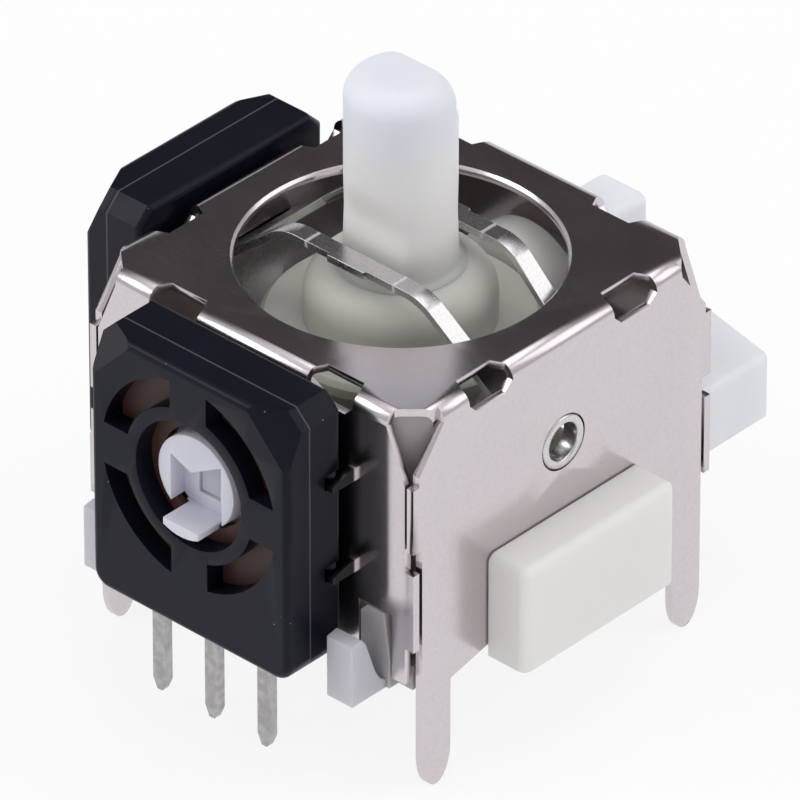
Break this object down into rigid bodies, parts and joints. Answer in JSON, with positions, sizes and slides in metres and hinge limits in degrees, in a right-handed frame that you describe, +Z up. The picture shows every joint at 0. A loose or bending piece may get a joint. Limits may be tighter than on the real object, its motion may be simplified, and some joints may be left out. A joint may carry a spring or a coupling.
{
  "type": "controller analog stick",
  "caption": "Two-axis thumb-stick module with a press action: a sprung stick in a folded steel frame with rotary resistors on two sides and a push lever on a third.",
  "frame": {"origin": "on the axis of the resting stick, in the plane on which the module seats on its circuit board", "axes": "+Z up along the stick; +X towards the wall with the hollow journal and the base's shoulder block; -Y towards the first rotary resistor; +Y towards the push lever"},
  "size_m": [0.0206, 0.0228, 0.0234],
  "materials": {
    "frame_steel": "nickel-plated sheet steel",
    "arch_steel": "nickel-plated spring steel",
    "white_moulding": "milky satin acetal",
    "dark_moulding": "satin acetal",
    "spring_wire": "drawn wire",
    "black_case": "satin moulded case",
    "brown_board": "phenolic laminate",
    "wiper_metal": "spring bronze",
    "tinned_terminal": "tin plated"
  },
  "bodies": {
    "housing": {"cage": "frame_steel", "base": "white_moulding", "pot_a_cover": "black_case", "pot_a_tray": "black_case", "pot_a_board": "brown_board", "pot_a_terminal_1": "tinned_terminal", "pot_a_terminal_2": "tinned_terminal", "pot_a_terminal_3": "tinned_terminal", "pot_b_cover": "black_case", "pot_b_tray": "black_case", "pot_b_board": "brown_board", "pot_b_terminal_1": "tinned_terminal", "pot_b_terminal_2": "tinned_terminal", "pot_b_terminal_3": "tinned_terminal"},
    "press_saddle": {"press_saddle": "white_moulding"},
    "lower_yoke": {"lower_yoke": "white_moulding"},
    "stick": {"stick": "white_moulding", "return_spring": "spring_wire"},
    "plunger": {"centring_plunger": "dark_moulding"},
    "arch": {"arch_yoke": "arch_steel"},
    "rotor_a": {"pot_a_rotor": "white_moulding", "pot_a_wiper": "wiper_metal"},
    "rotor_b": {"pot_b_rotor": "white_moulding", "pot_b_wiper": "wiper_metal"},
    "push_lever": {"push_lever": "white_moulding"}
  },
  "joints": [
    {"name": "press", "type": "hinge", "parent": "housing", "child": "press_saddle", "pos_m": [0, -0.0077, 0.007], "axis": [1, 0, 0], "range_deg": [-1.6, 0], "stiffness_Nm_per_rad": 0.9, "springref_deg": 0.57},
    {"name": "yoke_tilt", "type": "hinge", "parent": "press_saddle", "child": "lower_yoke", "pos_m": [0, 0, 0.007], "axis": [0, 1, 0], "range_deg": [-18, 18], "stiffness_Nm_per_rad": 0.012},
    {"name": "stick_tilt", "type": "hinge", "parent": "lower_yoke", "child": "stick", "pos_m": [0, 0, 0.007], "axis": [1, 0, 0], "range_deg": [-18, 18], "stiffness_Nm_per_rad": 0.012},
    {"name": "plunger_slide", "type": "slide", "parent": "stick", "child": "plunger", "axis": [0, 0, 1], "range_m": [0, 0.00025], "stiffness_N_per_m": 200, "deforming": ["return_spring"]},
    {"name": "arch_tilt", "type": "hinge", "parent": "housing", "child": "arch", "pos_m": [0, 0, 0.007], "axis": [1, 0, 0], "range_deg": [-18, 18]},
    {"name": "rotor_a_turn", "type": "hinge", "parent": "housing", "child": "rotor_a", "pos_m": [0, -0.0095, 0.007], "axis": [0, 1, 0], "range_deg": [-18, 18]},
    {"name": "rotor_b_turn", "type": "hinge", "parent": "housing", "child": "rotor_b", "pos_m": [-0.0095, 0, 0.007], "axis": [1, 0, 0], "range_deg": [-18, 18]},
    {"name": "lever_push", "type": "hinge", "parent": "housing", "child": "push_lever", "pos_m": [0, 0.0062, 0.0033], "axis": [1, 0, 0], "range_deg": [-7.6, 0]}
  ],
  "couplings": [
    {"joint": "arch_tilt", "follows": "stick_tilt", "ratio": 1},
    {"joint": "rotor_a_turn", "follows": "yoke_tilt", "ratio": 1},
    {"joint": "rotor_b_turn", "follows": "stick_tilt", "ratio": 1},
    {"joint": "lever_push", "follows": "press", "ratio": 4.645}
  ]
}
